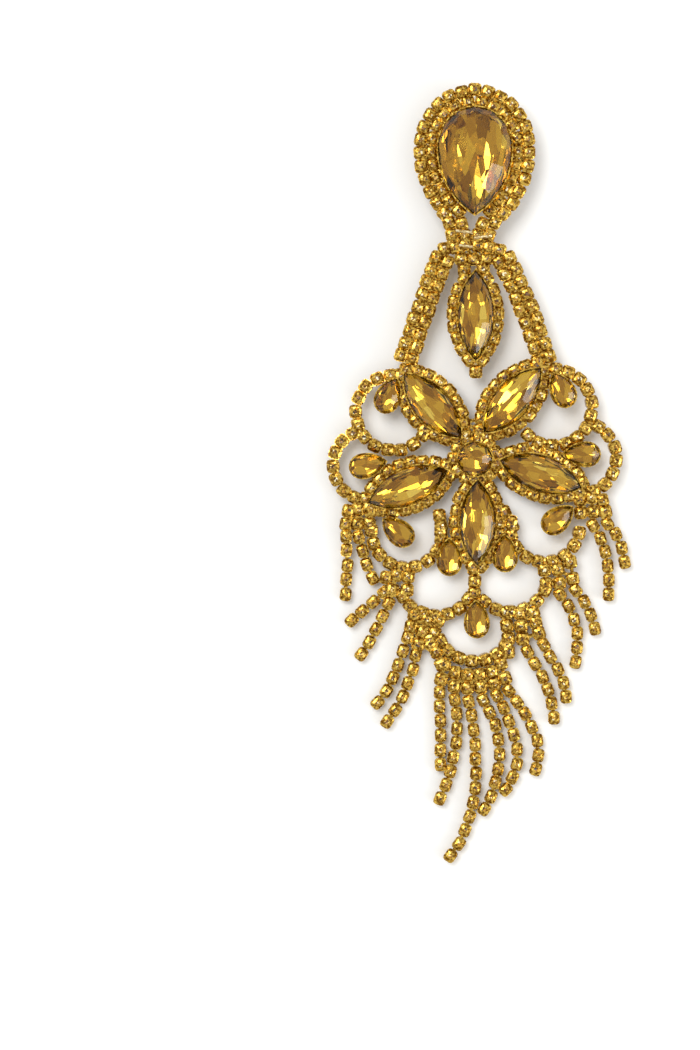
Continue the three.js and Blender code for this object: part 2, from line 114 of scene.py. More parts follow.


# The chain's stones: cushion-cut glass chatons, pressed and foiled behind. A stone this small shows as a
# patchwork of dark and bright reflections, so each cell is painted with the tone of one reflection, from
# dark painted shade to pale painted highlight, and has a tilt of its own. A reflection in a 2 mm stone is
# about 0.3 mm across.
def painted_facet_reflections(tree, cells, tones):
    """One flat tone for each cell, by the cell's own random number: the painted reflection, from dark to
    pale, of one facet.
    """
    pick = add_node(tree, "ShaderNodeSeparateColor", Color=cells.outputs["Color"])
    ramp = add_node(tree, "ShaderNodeValToRGB", stops=tones, Fac=pick.outputs["Red"])
    ramp.color_ramp.interpolation = "CONSTANT"
    return ramp.outputs["Color"]


def facet_tilt(tree, cells, amount):
    """The surface's normal, leant a different way in each cell."""
    kind = "ShaderNodeVectorMath"
    middle = add_node(tree, kind, {"operation": "SUBTRACT"}, _0=cells.outputs["Color"], _1=(0.5, 0.5, 0.5))
    lean = add_node(tree, kind, {"operation": "SCALE"}, _0=middle.outputs[0], Scale=amount)
    normal = add_node(tree, "ShaderNodeNewGeometry").outputs["Normal"]
    leant = add_node(tree, kind, {"operation": "ADD"}, _0=normal, _1=lean.outputs[0])
    return add_node(tree, kind, {"operation": "NORMALIZE"}, _0=leant.outputs[0]).outputs[0]


REFLECTION = 0.28 * MM
CHATON_TILT = 0.6
CHATON_REFLECTION_TONES = (
    (0.0, "#241202"),
    (0.15, "#5A3603"),
    (0.35, "#8A5C08"),
    (0.54, "#B27E12"),
    (0.71, "#D8A632"),
    (0.84, "#FBDA78"),
    (0.93, "#FFF4C8"),
)
chaton_glass, tree, shader, place = new_material("foiled_yellow_glass")
cells = add_node(tree, "ShaderNodeTexVoronoi", Vector=place, Scale=1 / REFLECTION)
# Painted reflections and painted shade: each cell's flat tone, dark to pale, stands in for one facet's
# reflection.
tree.links.new(painted_facet_reflections(tree, cells, CHATON_REFLECTION_TONES), shader.inputs["Base Color"])
tree.links.new(facet_tilt(tree, cells, CHATON_TILT), shader.inputs["Normal"])
shader.inputs["Metallic"].default_value = 0.3
shader.inputs["Roughness"].default_value = 0.3
shader.inputs["IOR"].default_value = 1.54


# One cup of the chain: a brass cup stamped from strip, rounded at its corners, with four prongs bent over
# the edge of its stone. It is modelled once, standing at the origin with the chain along X. The stone
# fills the cup to its thin rim: two rows of facets under a small table.
CUP_LENGTH = 2.2
CUP_WIDTH = 2.1
CUP_HEIGHT = 1.15
CUP_CORNER = 0.56
CORNER_STEPS = 2
CUP_WALL = 0.1
CUP_TAPER = 0.78
CHATON_STEPS = ((0.24, 0.74), (0.14, 0.5))
PRONG_WIDTH = 0.3
PRONG_RISE = 0.24
PRONG_BEND = 0.14


def deselect_all():
    bpy.ops.object.select_all(action="DESELECT")


def edit_faces(piece, wanted):
    """Edit mode with only the wanted faces selected."""
    for part in (*piece.data.vertices, *piece.data.edges, *piece.data.polygons):
        part.select = False
    for face in piece.data.polygons:
        face.select = wanted(face)
    bpy.ops.object.mode_set(mode="EDIT")
    bpy.ops.mesh.select_mode(type="FACE")


def faces_up(height):
    return lambda face: face.normal.z > 0.9 and abs(face.center.z - height) < 1e-3


def join_onto(piece, parts):
    """Joins the parts onto the piece, as one mesh."""
    deselect_all()
    for part in (*parts, piece):
        part.select_set(True)
    bpy.context.view_layer.objects.active = piece
    bpy.ops.object.join()


deselect_all()
bpy.ops.mesh.primitive_cube_add(size=1, location=(0, 0, CUP_HEIGHT / 2))
cup = bpy.context.object
cup.name = "chain_cup"
cup.scale = (CUP_LENGTH, CUP_WIDTH, CUP_HEIGHT)
bpy.ops.object.transform_apply()
edit_faces(cup, lambda face: False)
bpy.ops.object.mode_set(mode="OBJECT")
for edge in cup.data.edges:
    low, high = (cup.data.vertices[i].co for i in edge.vertices)
    edge.select = abs(low.z - high.z) > CUP_HEIGHT / 2
bpy.context.tool_settings.mesh_select_mode = (False, True, False)
bpy.ops.object.mode_set(mode="EDIT")
bpy.ops.mesh.bevel(offset=CUP_CORNER, segments=CORNER_STEPS)
bpy.ops.object.mode_set(mode="OBJECT")
edit_faces(cup, lambda face: face.normal.z < -0.9)
bpy.ops.transform.resize(value=(CUP_TAPER, CUP_TAPER, 1), center_override=(0, 0, 0))
bpy.ops.object.mode_set(mode="OBJECT")
edit_faces(cup, faces_up(CUP_HEIGHT))
bpy.ops.mesh.inset(thickness=CUP_WALL)
bpy.ops.object.mode_set(mode="OBJECT")
cup.data.materials.append(plated_brass)
cup.data.materials.append(chaton_glass)
for face in cup.data.polygons:
    face.material_index = 1 if faces_up(CUP_HEIGHT)(face) and face.center.xy.length < 0.01 else 0
for rise, share in CHATON_STEPS:
    edit_faces(cup, lambda face: face.material_index == 1 and face.normal.z > 0.99)
    bpy.ops.mesh.extrude_region_move(TRANSFORM_OT_translate={"value": (0, 0, rise)})
    bpy.ops.transform.resize(value=(share, share, 1), center_override=(0, 0, 0))
    bpy.ops.object.mode_set(mode="OBJECT")

prong_y = CUP_WIDTH / 2 - CUP_WALL
prongs = []
for x in (-CUP_LENGTH / 4, CUP_LENGTH / 4):
    for side in (-1, 1):
        deselect_all()
        bpy.ops.mesh.primitive_cone_add(
            vertices=5,
            radius1=PRONG_WIDTH / 2,
            radius2=PRONG_WIDTH / 3,
            depth=PRONG_RISE,
            end_fill_type="NGON",
            location=(x, side * prong_y, CUP_HEIGHT + PRONG_RISE / 2),
        )
        prong = bpy.context.object
        bpy.ops.object.transform_apply()
        edit_faces(prong, lambda face: face.normal.z > 0.9)
        bpy.ops.transform.translate(value=(0, -side * PRONG_BEND, 0))
        bpy.ops.object.mode_set(mode="OBJECT")
        prong.data.materials.append(plated_brass)
        prongs.append(prong)
join_onto(cup, prongs)


# The flat brass link that joins one cup of the chain to the next, cut from the same strip with its edges
# pinched by the shears. Soldered rows have one between all neighbours, where the solder has run.
LINK_WIDTH = 0.9
LINK_PINCH = 0.7
LINK_THICK = 0.35
LINK_HEIGHT = 0.5
STRAND_PITCH = 2.5

deselect_all()
bpy.ops.mesh.primitive_cube_add(size=1, location=(0, 0, LINK_HEIGHT + LINK_THICK / 2))
link = bpy.context.object
link.name = "chain_link"
link.scale = (STRAND_PITCH - CUP_LENGTH * CUP_TAPER, LINK_WIDTH, LINK_THICK)
bpy.ops.object.transform_apply()
edit_faces(link, lambda face: abs(face.normal.z) > 0.9)
bpy.ops.transform.resize(value=(1, LINK_PINCH, 1), center_override=(0, 0, 0))
bpy.ops.object.mode_set(mode="OBJECT")
link.data.materials.append(plated_brass)


def row_places(path, pitch):
    """Places at an even pitch along a path: x, y and heading in radians."""
    steps = 300
    points = [Vector(path(i / steps)) for i in range(steps + 1)]
    run = [0.0]
    for before, after in zip(points, points[1:]):
        run.append(run[-1] + (after - before).length)
    count = max(1, round(run[-1] / pitch))
    places = []
    for cup_number in range(count):
        target = run[-1] * (cup_number + 0.5) / count
        i = next(i for i in range(steps) if run[i + 1] >= target)
        along = points[i + 1] - points[i]
        at = points[i] + along * ((target - run[i]) / (run[i + 1] - run[i]))
        places.append((at.x, at.y, math.atan2(along.y, along.x)))
    return places


UNEVEN = math.radians(5)
unevenness = random.Random(4)


def uneven():
    """The small lean that each cup takes up when it is soldered or laid down."""
    leans = [Matrix.Rotation(unevenness.uniform(-UNEVEN, UNEVEN), 4, axis) for axis in "XYZ"]
    return leans[0] @ leans[1] @ leans[2]


SOLDERED_SIZE = 1.08
SOLDER_REACH = 3.1


def lay_chain(name, rows, tilt=0.0):
    """One mesh of cups for rows of places in the lattice's plane, each soldered to every neighbour."""
    parts = []
    places = [place for row in rows for place in row]
    for x, y, heading in places:
        part = cup.copy()
        turn = Matrix.Rotation(heading, 4, "Z") @ Matrix.Rotation(tilt, 4, "X")
        part.matrix_world = Matrix.Translation((x, y, 0)) @ turn @ uneven() @ Matrix.Scale(SOLDERED_SIZE, 4)
        parts.append(part)
    for number, (x0, y0, _) in enumerate(places):
        for x1, y1, _ in places[number + 1:]:
            if math.hypot(x1 - x0, y1 - y0) < SOLDER_REACH:
                part = link.copy()
                turn = Matrix.Rotation(math.atan2(y1 - y0, x1 - x0), 4, "Z")
                part.matrix_world = Matrix.Translation(((x0 + x1) / 2, (y0 + y1) / 2, 0)) @ turn
                parts.append(part)
    return join_parts(name, parts)


def join_parts(name, parts):
    """Copies of the masters, each with its own mesh, joined into one piece."""
    for part in parts:
        bpy.context.collection.objects.link(part)
        part.data = part.data.copy()
    join_onto(parts[0], parts[1:])
    parts[0].name = name
    return parts[0]


# The outlines of the cut stones, which their settings and rims follow: a round, a navette of two arcs, and
# a pear of two arcs and a half ellipse. Each runs once round from the tip, and grow moves it outwards.
def round_outline(width):
    def point(t, grow):
        angle = 2 * math.pi * t
        return Vector(((width / 2 + grow) * math.cos(angle), (width / 2 + grow) * math.sin(angle)))
    return point


def arc_side(half_width, reach, grow):
    radius = (reach ** 2 + half_width ** 2) / (2 * half_width)
    fall = radius - half_width
    most = math.acos(fall / (radius + grow))
    return lambda share: Vector(
        ((radius + grow) * math.sin(share * most), (radius + grow) * math.cos(share * most) - fall)
    )


def navette_outline(width, length):
    def point(t, grow):
        side = arc_side(width / 2, length / 2, grow)
        if t < 0.5:
            return side(1 - 4 * t)
        x, y = side(4 * t - 3)
        return Vector((x, -y))
    return point


def pear_outline(width, length, shoulder):
    back = length * shoulder
    tail_share = 0.3

    def point(t, grow):
        shift = back - length / 2
        if tail_share < t < 1 - tail_share:
            angle = math.pi * (0.5 + (t - tail_share) / (1 - 2 * tail_share))
            return Vector(((back + grow) * math.cos(angle) + shift, (width / 2 + grow) * math.sin(angle)))
        side = arc_side(width / 2, length - back, grow)
        x, y = side(1 - t / tail_share if t <= tail_share else 1 - (1 - t) / tail_share)
        return Vector((x + shift, y if t <= tail_share else -y))
    return point


def stone_place(x, y, turn):
    return Matrix.Translation((x, y, 0)) @ Matrix.Rotation(math.radians(turn), 4, "Z")


def outline_path(outline, place, grow, start=0.0, end=1.0):
    def path(t):
        x, y = outline(start + (end - start) * t, grow)
        return (place @ Vector((x, y, 0)))[:2]
    return path


# Cut glass for the large stones: polished lead crystal, coloured topaz yellow and foiled behind with pale
# gold. Seen through the crown, the foil breaks up into flakes 0.8 to 1.2 mm wide and nearly three times as
# long. Each flake has a tilt of its own and a flat tone from dark gold to white: painted reflections and
# painted shade of the crown's facets on the foil. They follow the stone's own length, because its "along"
# attribute counts flakes across its width.
crystal, tree, shader, place = new_material("topaz_yellow_crystal")
shader.inputs["Base Color"].default_value = linear("#F9D45A")
shader.inputs["Transmission Weight"].default_value = 1.0
shader.inputs["Roughness"].default_value = 0.0
shader.inputs["IOR"].default_value = 1.45

FLAKE_STRETCH = 0.36
FOIL_TILT = 0.36
FOIL_REFLECTION_TONES = (
    (0.0, "#96773F"),
    (0.12, "#B2945A"),
    (0.32, "#C8AE78"),
    (0.56, "#D9C692"),
    (0.80, "#EBDFB8"),
    (0.93, "#FFFFFF"),
)
gold_foil, tree, shader, place = new_material("gold_foil_backing")
along = add_node(tree, "ShaderNodeAttribute", {"attribute_name": "along"}).outputs["Vector"]
flakes = add_node(tree, "ShaderNodeMapping", Vector=along, Scale=(FLAKE_STRETCH, 1, 1))
cells = add_node(tree, "ShaderNodeTexVoronoi", Vector=flakes.outputs["Vector"], Scale=1.0)
# Painted reflections and painted shade: each flake's flat tone, dark gold to white, stands in for a facet's
# reflection.
tree.links.new(painted_facet_reflections(tree, cells, FOIL_REFLECTION_TONES), shader.inputs["Base Color"])
tree.links.new(facet_tilt(tree, cells, FOIL_TILT), shader.inputs["Normal"])
shader.inputs["Metallic"].default_value = 0.92
shader.inputs["Roughness"].default_value = 0.08


# The cut stones: pressed glass, ground and polished facet by facet on a lap. Each is a straight blank of
# its outline, cut round by planes: two rows of facets on the crown under a flat table, two behind.
STONE_DEPTH = 0.17
GIRDLE = 0.2
CROWN_ANGLE = 46
STAR_ANGLE = 27
STAR_HEIGHT = 0.5
BREAK_ANGLE = 25
BREAK_DEPTH = 0.34
MAIN_STEEPER = 3
MAIN_FLATTER = 2
MAIN_SHIFT = 1.6


def outline_disc(outline, corners, grow, height):
    """A flat disc with an outline's corners."""
    deselect_all()
    bpy.ops.mesh.primitive_circle_add(vertices=corners, radius=1, fill_type="NGON")
    disc = bpy.context.object
    for i, vertex in enumerate(disc.data.vertices):
        x, y = outline(i / corners, grow)
        vertex.co = (x, y, height)
    return disc


def cut_plane(point, normal):
    bpy.ops.mesh.select_all(action="SELECT")
    bpy.ops.mesh.bisect(plane_co=point, plane_no=normal, use_fill=True, clear_outer=True)


def cut_ring(outline, facets, first, step, inset, height, angle, way):
    """A row of facets: planes at one angle to the table, through an inset of the outline."""
    slope = math.radians(angle)
    half_edge = 0.25 / facets
    for i in range(first, 2 * facets, step):
        t = i / (2 * facets)
        x, y = outline(t, -inset)
        ahead, behind = (outline((t + move) % 1, 0.0) for move in (half_edge, -half_edge))
        along = (ahead - behind).normalized()
        normal = (along.y * math.sin(slope), -along.x * math.sin(slope), way * math.cos(slope))
        cut_plane((x, y, height), normal)


def cut_stone(name, outline, width, facets, seat, crown, flakes):
    """A stone at the origin with its tip on +X, with so many facets round it and foil flakes across it."""
    depth = STONE_DEPTH * width
    stone = outline_disc(outline, 2 * facets, 0.0, seat - depth)
    stone.name = name
    bpy.ops.object.mode_set(mode="EDIT")
    bpy.ops.mesh.select_all(action="SELECT")
    bpy.ops.mesh.extrude_region_move(TRANSFORM_OT_translate={"value": (0, 0, depth + GIRDLE + crown)})

    cut_ring(outline, facets, 1, 2, 0.0, seat + GIRDLE, CROWN_ANGLE, 1)
    star_inset = STAR_HEIGHT * crown / math.tan(math.radians(CROWN_ANGLE))
    cut_ring(outline, facets, 0, 2, star_inset, seat + GIRDLE + STAR_HEIGHT * crown, STAR_ANGLE, 1)

    cut_ring(outline, facets, 1, 2, 0.0, seat, BREAK_ANGLE, -1)
    break_inset = BREAK_DEPTH * depth / math.tan(math.radians(BREAK_ANGLE))
    main_angle = math.degrees(math.atan((1 - BREAK_DEPTH) * depth / (width / 2 - break_inset)))
    main_height = seat - BREAK_DEPTH * depth
    cut_ring(outline, facets, 0, 4, break_inset, main_height, main_angle + MAIN_STEEPER, -1)
    cut_ring(outline, facets, 2, 4, break_inset * MAIN_SHIFT, main_height, main_angle - MAIN_FLATTER, -1)

    bpy.ops.mesh.select_all(action="SELECT")
    bpy.ops.mesh.normals_make_consistent(inside=False)
    bpy.ops.object.mode_set(mode="OBJECT")
    stone.data.materials.append(crystal)
    stone.data.materials.append(gold_foil)
    for face in stone.data.polygons:
        face.material_index = 1 if face.normal.z < 0.1 else 0
    along = stone.data.attributes.new("along", "FLOAT_VECTOR", "POINT")
    for vertex, place_along in zip(stone.data.vertices, along.data):
        place_along.vector = vertex.co * flakes / width
    return stone


def finish_piece(piece, place, body, nodes=()):
    """Writes the piece's place into its mesh and ties it to the frame."""
    piece.matrix_world = place @ piece.matrix_world
    deselect_all()
    piece.select_set(True)
    bpy.context.view_layer.objects.active = piece
    bpy.ops.object.transform_apply(location=True, rotation=True, scale=True)
    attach(piece, body)
    if nodes:
        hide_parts(*nodes)


# The head stone: the largest, a pear-cut crystal set point down. It replaces the plain stone of the frame.
HEAD_WIDTH = 12.6
HEAD_LENGTH = 18.3
HEAD_SHOULDER = 0.38
HEAD_SEAT = 2.9
HEAD_CROWN = 2.2
HEAD_FACETS = 16
HEAD_FLAKES = 11
HEAD_PLACE = stone_place(-0.1, 51.0, -90)
head_outline = pear_outline(HEAD_WIDTH, HEAD_LENGTH, HEAD_SHOULDER)
head_stone = cut_stone(
    "head_crystal", head_outline, HEAD_WIDTH, HEAD_FACETS, HEAD_SEAT, HEAD_CROWN, HEAD_FLAKES
)
finish_piece(head_stone, IN_LATTICE @ HEAD_PLACE, "root", ["head_stone"])


# The settings of the large stones: trays of brass sheet with tapered walls, a closed back, and a thin
# bezel that is burnished over the stone's girdle. They are plated together with the cups round them.
BEZEL_GAP = 0.04
BEZEL_WALL = 0.22
BEZEL_PROUD = 0.2
TRAY_FLOOR = 0.45
HEAD_CORNERS = 40
HEAD_TAPER = 0.6


def tray(name, outline, width, length, corners, seat, taper):
    """A setting at the origin for a stone of this outline."""
    rim = seat + GIRDLE + BEZEL_PROUD
    grow = BEZEL_GAP + BEZEL_WALL
    piece = outline_disc(outline, corners, grow, 0.0)
    piece.name = name
    bpy.ops.object.mode_set(mode="EDIT")
    bpy.ops.mesh.select_all(action="SELECT")
    bpy.ops.mesh.extrude_region_move(TRANSFORM_OT_translate={"value": (0, 0, rim)})
    bpy.ops.mesh.inset(thickness=BEZEL_WALL)
    bpy.ops.mesh.extrude_region_move(TRANSFORM_OT_translate={"value": (0, 0, TRAY_FLOOR - rim)})
    narrower = (1 - 2 * taper / length, 1 - 2 * taper / width, 1)
    bpy.ops.transform.resize(value=narrower, center_override=(0, 0, 0))
    bpy.ops.mesh.select_all(action="SELECT")
    bpy.ops.mesh.normals_make_consistent(inside=False)
    bpy.ops.object.mode_set(mode="OBJECT")
    edit_faces(piece, lambda face: abs(face.normal.z) > 0.9 and face.center.z < 0.01)
    bpy.ops.transform.resize(value=narrower, center_override=(0, 0, 0))
    bpy.ops.object.mode_set(mode="OBJECT")
    piece.data.materials.append(plated_brass)
    return piece


head_tray = tray("head_setting", head_outline, HEAD_WIDTH, HEAD_LENGTH, HEAD_CORNERS, HEAD_SEAT, HEAD_TAPER)
finish_piece(head_tray, IN_LATTICE @ HEAD_PLACE, "root", ["soldered_frame"])


# The halo: two rows of cup chain soldered round the head's setting. They open below the stone's point and
# cross into the neck.
HALO_PITCH = 2.25
HALO_ROWS = ((1.05, 0.045), (3.05, 0.085))

halo_rows = []
for grow, end in HALO_ROWS:
    path = outline_path(head_outline, HEAD_PLACE, grow, end, 1 - end)
    halo_rows.append(row_places(path, HALO_PITCH))
halo = lay_chain("head_halo", halo_rows)
finish_piece(halo, IN_LATTICE, "root", ["soldered_frame"])


# The neck: the halo's rows run on and cross, with short rows of cups soldered side by side below them,
# over the side bars. Bare solder wires tie the crossing.
def straight_row(x0, y0, x1, y1, count):
    """Places of a number of cups, from the first cup's middle to the last one's."""
    heading = math.atan2(y1 - y0, x1 - x0)
    shares = [i / max(1, count - 1) for i in range(count)]
    return [(x0 + (x1 - x0) * share, y0 + (y1 - y0) * share, heading) for share in shares]


NECK_ROWS = (
    (-4.4, 40.6, -3.9, 38.4, 2),
    (-2.3, 40.5, -1.8, 38.4, 2),
    (1.4, 40.4, 0.4, 38.4, 2),
    (3.5, 40.7, 2.5, 38.5, 2),
    (-5.3, 36.0, -1.6, 36.8, 3),
    (0.4, 36.7, 4.3, 35.9, 3),
    (-2.4, 34.4, 1.9, 34.4, 3),
)
neck = lay_chain("neck", [straight_row(*row) for row in NECK_ROWS])
finish_piece(neck, IN_LATTICE, "root", ["soldered_frame"])

# The solder: a paler, softer gold alloy than the plating, left as it froze, so it is lumpy and half bright.
# The lumps of real solder are about 0.4 mm across.
WIRE_THICK = 0.55
WIRE_ROUND = 0.15
WIRE_HEIGHT = 1.7
WIRES = (
    (-3.4, 39.2, -0.3, 38.8),
    (-0.2, 37.9, 2.9, 38.3),
    (-2.8, 36.7, -0.4, 36.4),
)
SOLDER_GRAIN = 0.4 * MM
SOLDER_LUMP = 0.1 * MM
SOLDER_TONES = ((0.35, "#B0893C"), (0.6, "#F0E2B4"))
pale_solder, tree, shader, place = new_material("pale_gold_solder")
grain = add_node(tree, "ShaderNodeTexNoise", Vector=place, Scale=1 / SOLDER_GRAIN, Detail=2.0).outputs["Fac"]
lumps = add_node(tree, "ShaderNodeBump", Height=grain, Strength=0.6, Distance=SOLDER_LUMP)
tone = add_node(tree, "ShaderNodeValToRGB", stops=SOLDER_TONES, Fac=grain)
tree.links.new(tone.outputs["Color"], shader.inputs["Base Color"])
tree.links.new(lumps.outputs["Normal"], shader.inputs["Normal"])
shader.inputs["Metallic"].default_value = 0.8
shader.inputs["Roughness"].default_value = 0.35
wires = []
for x0, y0, x1, y1 in WIRES:
    deselect_all()
    span = Vector((x1 - x0, y1 - y0, 0))
    bpy.ops.mesh.primitive_cylinder_add(vertices=10, radius=WIRE_THICK / 2, depth=span.length)
    wire = bpy.context.object
    middle = Vector(((x0 + x1) / 2, (y0 + y1) / 2, WIRE_HEIGHT))
    wire.matrix_world = Matrix.Translation(middle) @ span.to_track_quat("Z", "Y").to_matrix().to_4x4()
    bpy.ops.object.transform_apply()
    edit_faces(wire, lambda face: len(face.vertices) > 4)
    bpy.ops.mesh.bevel(offset=WIRE_ROUND, segments=2)
    bpy.ops.object.mode_set(mode="OBJECT")
    wire.data.materials.append(pale_solder)
    wires.append(wire)
join_onto(wires[0], wires[1:])
wires[0].name = "solder_wires"
finish_piece(wires[0], IN_LATTICE, "root")


# The side bars: two rows of cup chain soldered side by side, from the neck down to the flower's upper loops.
BAR_SPREAD = 1.0
BAR_PITCH = 2.2
BARS = (
    ((4.5, 35.2), (12.1, 16.2), 0.6),
    ((-5.3, 35.3), (-12.0, 16.4), -0.2),
)


def bar_path(start, end, bow, side):
    start, end = Vector(start), Vector(end)
    along = (end - start).normalized()
    across = Vector((along.y, -along.x)) * side
    middle = (start + end) / 2 + Vector((2 * bow, 0))

    def path(t):
        x, y = (1 - t) ** 2 * start + 2 * t * (1 - t) * middle + t ** 2 * end + across
        return x, y
    return path


bar_rows = []
for start, end, bow in BARS:
    for side in (-BAR_SPREAD, BAR_SPREAD):
        bar_rows.append(row_places(bar_path(start, end, bow, side), BAR_PITCH))
bars = lay_chain("side_bars", bar_rows)
finish_piece(bars, IN_LATTICE, "root", ["soldered_frame"])


# The flower: five navette stones round one round stone, each in its own setting inside a rim of cups.
NAVETTE_WIDTH = 6.3
NAVETTE_LENGTH = 14.7
NAVETTE_SEAT = 2.3
NAVETTE_CROWN = 1.4
NAVETTE_FACETS = 12
NAVETTE_FLAKES = 8
NAVETTE_CORNERS = 36
NAVETTE_TAPER = 0.9
RIM_GROW = 0.66
RIM_PITCH = 2.12
PETALS = (
    (6.4, 10.1, 48.7),
    (-7.3, 9.2, 131.7),
    (-11.5, -4.7, 202.4),
    (0.5, -10.9, -90),
    (11.3, -2.5, -18.6),
)
navette = navette_outline(NAVETTE_WIDTH, NAVETTE_LENGTH)
petal_stone = cut_stone(
    "petal_crystal", navette, NAVETTE_WIDTH, NAVETTE_FACETS, NAVETTE_SEAT, NAVETTE_CROWN, NAVETTE_FLAKES
)
petal_tray = tray(
    "petal_setting", navette, NAVETTE_WIDTH, NAVETTE_LENGTH, NAVETTE_CORNERS, NAVETTE_SEAT, NAVETTE_TAPER
)
rim_rows = []
for number, (x, y, turn) in enumerate(PETALS, 1):
    place = stone_place(x, y, turn)
    stone = join_parts(f"petal_crystal_{number}", [petal_stone.copy()])
    finish_piece(stone, IN_LATTICE @ place, "root", [f"petal_stone_{number}"])
    setting = join_parts(f"petal_setting_{number}", [petal_tray.copy()])
    finish_piece(setting, IN_LATTICE @ place, "root", ["soldered_frame"])
    rim_rows.append(row_places(outline_path(navette, place, RIM_GROW), RIM_PITCH))

ROUND_WIDTH = 5.9
ROUND_SEAT = 2.3
ROUND_CROWN = 1.2
ROUND_FACETS = 8
ROUND_FLAKES = 6
ROUND_CORNERS = 32
round_stone = round_outline(ROUND_WIDTH)
centre = cut_stone(
    "centre_crystal", round_stone, ROUND_WIDTH, ROUND_FACETS, ROUND_SEAT, ROUND_CROWN, ROUND_FLAKES
)
finish_piece(centre, IN_LATTICE, "root", ["centre_stone"])
centre_tray = tray(
    "centre_setting", round_stone, ROUND_WIDTH, ROUND_WIDTH, ROUND_CORNERS, ROUND_SEAT, NAVETTE_TAPER
)
finish_piece(centre_tray, IN_LATTICE, "root", ["soldered_frame"])
rim_rows.append(row_places(outline_path(round_stone, Matrix(), RIM_GROW), RIM_PITCH))
rims = lay_chain("flower_rims", rim_rows)
finish_piece(rims, IN_LATTICE, "root", ["soldered_frame"])


# The scallop loops: single rows of cups bent round between the petals, leaning outwards in the bend, so the
# cups' bright walls show along the inside. Short bridges of chain join the lower loops. A loop is given by
# its middle and radius, and by the angles at its ends.
LOOP_PITCH = 2.25
LOOP_TILT = math.radians(14)
LOOPS = (
    (13.6, 8.9, 6.3, 97, -142),
    (-14.0, 8.0, 6.2, 84, 334),
    (18.3, 0.2, 5.85, 72, -80),
    (-18.2, -1.0, 5.85, 106, 258),
    (12.1, -11.7, 5.7, 2, -200),
    (-11.7, -12.6, 5.8, 166, 382),
    (6.1, -19.5, 6.5, -142, -16),
    (-6.5, -20.2, 6.5, 200, 334),
    (0.0, -28.4, 6.2, 196, 336),
)
BRIDGES = (
    (0.0, -18.9, 0.0, -23.2, 3),
    (-7.6, -31.0, -5.8, -35.4, 3),
    (5.2, -9.2, 6.4, -11.6, 2),
    (-6.0, -9.8, -5.9, -12.4, 2),
    (5.8, -31.0, 5.8, -33.4, 2),
)


def arc_path(x, y, radius, start, end):
    """Anticlockwise round the middle, so that the outside lies on the right."""
    low, high = sorted((math.radians(start), math.radians(end)))
    return lambda t: (
        x + radius * math.cos(low + (high - low) * t),
        y + radius * math.sin(low + (high - low) * t),
    )


loops = lay_chain("scallop_loops", [row_places(arc_path(*loop), LOOP_PITCH) for loop in LOOPS], LOOP_TILT)
finish_piece(loops, IN_LATTICE, "root", ["soldered_frame"])
bridges = lay_chain("loop_bridges", [straight_row(*bridge) for bridge in BRIDGES])
finish_piece(bridges, IN_LATTICE, "root", ["soldered_frame"])


# The combs: cups soldered side by side in short columns, each running out into a strand of the fringe or
# ending as a stub. A column is given by its top and bottom cups, and how many it has.
COMBS = (
    (18.1, -6.9, 18.3, -9.1, 2),
    (20.2, -6.6, 20.4, -9.0, 2),
    (22.0, -7.0, 22.5, -9.1, 2),
    (-17.9, -8.9, -18.1, -11.1, 2),
    (-20.0, -8.6, -20.2, -11.0, 2),
    (-21.8, -9.0, -22.1, -11.1, 2),
    (12.1, -19.1, 12.3, -21.5, 2),
    (14.3, -19.0, 14.7, -21.4, 2),
    (16.6, -17.8, 17.0, -20.5, 2),
    (-15.2, -20.4, -15.3, -21.0, 1),
    (-13.4, -20.0, -14.2, -22.6, 2),
    (-11.5, -20.2, -11.6, -22.6, 2),
    (5.5, -26.5, 5.8, -33.2, 4),
    (7.8, -26.5, 8.4, -31.0, 3),
    (10.1, -26.4, 11.1, -30.0, 3),
    (-10.4, -26.9, -10.9, -28.9, 2),
    (-8.2, -27.6, -9.6, -32.0, 3),
    (-6.1, -27.9, -7.7, -31.9, 3),
    (-5.2, -35.4, -5.7, -38.0, 2),
    (-3.3, -36.8, -3.5, -39.2, 2),
    (-1.2, -37.2, -1.1, -39.5, 2),
    (0.9, -37.2, 1.2, -39.3, 2),
    (3.0, -36.7, 3.4, -38.8, 2),
    (4.6, -35.3, 5.3, -37.7, 2),
)
combs = lay_chain("combs", [straight_row(*column) for column in COMBS])
finish_piece(combs, IN_LATTICE, "root", ["soldered_frame"])


# The drop: one navette in a rim of cups. It hangs from the neck on two cups, and a third closes its point.
DROP_LENGTH = 15.4
DROP_PLACE = stone_place(0.1, 24.6, -90)
DROP_OPEN = 0.05
DROP_POINT = 0.012
DROP_CUPS = ((-1.85, 32.5), (1.45, 32.5), (0.2, 15.0))
drop_outline = navette_outline(NAVETTE_WIDTH, DROP_LENGTH)
drop_stone = cut_stone(
    "drop_crystal", drop_outline, NAVETTE_WIDTH, NAVETTE_FACETS, NAVETTE_SEAT, NAVETTE_CROWN, NAVETTE_FLAKES
)
finish_piece(drop_stone, IN_LATTICE @ DROP_PLACE, "root", ["drop_stone"])
drop_tray = tray(
    "drop_setting", drop_outline, NAVETTE_WIDTH, DROP_LENGTH, NAVETTE_CORNERS, NAVETTE_SEAT, NAVETTE_TAPER
)
finish_piece(drop_tray, IN_LATTICE @ DROP_PLACE, "root", ["drop_frame"])
drop_sides = (
    outline_path(drop_outline, DROP_PLACE, RIM_GROW, DROP_POINT, 0.5 - DROP_OPEN),
    outline_path(drop_outline, DROP_PLACE, RIM_GROW, 0.5 + DROP_OPEN, 1 - DROP_POINT),
)
drop_rows = [row_places(side, RIM_PITCH) for side in drop_sides]
drop_rows.append([(x, y, math.pi / 2) for x, y in DROP_CUPS[:2]])
drop_rows.append([(*DROP_CUPS[2], math.pi / 2)])
drop_rim = lay_chain("drop_rim", drop_rows)
finish_piece(drop_rim, IN_LATTICE, "root", ["drop_frame"])


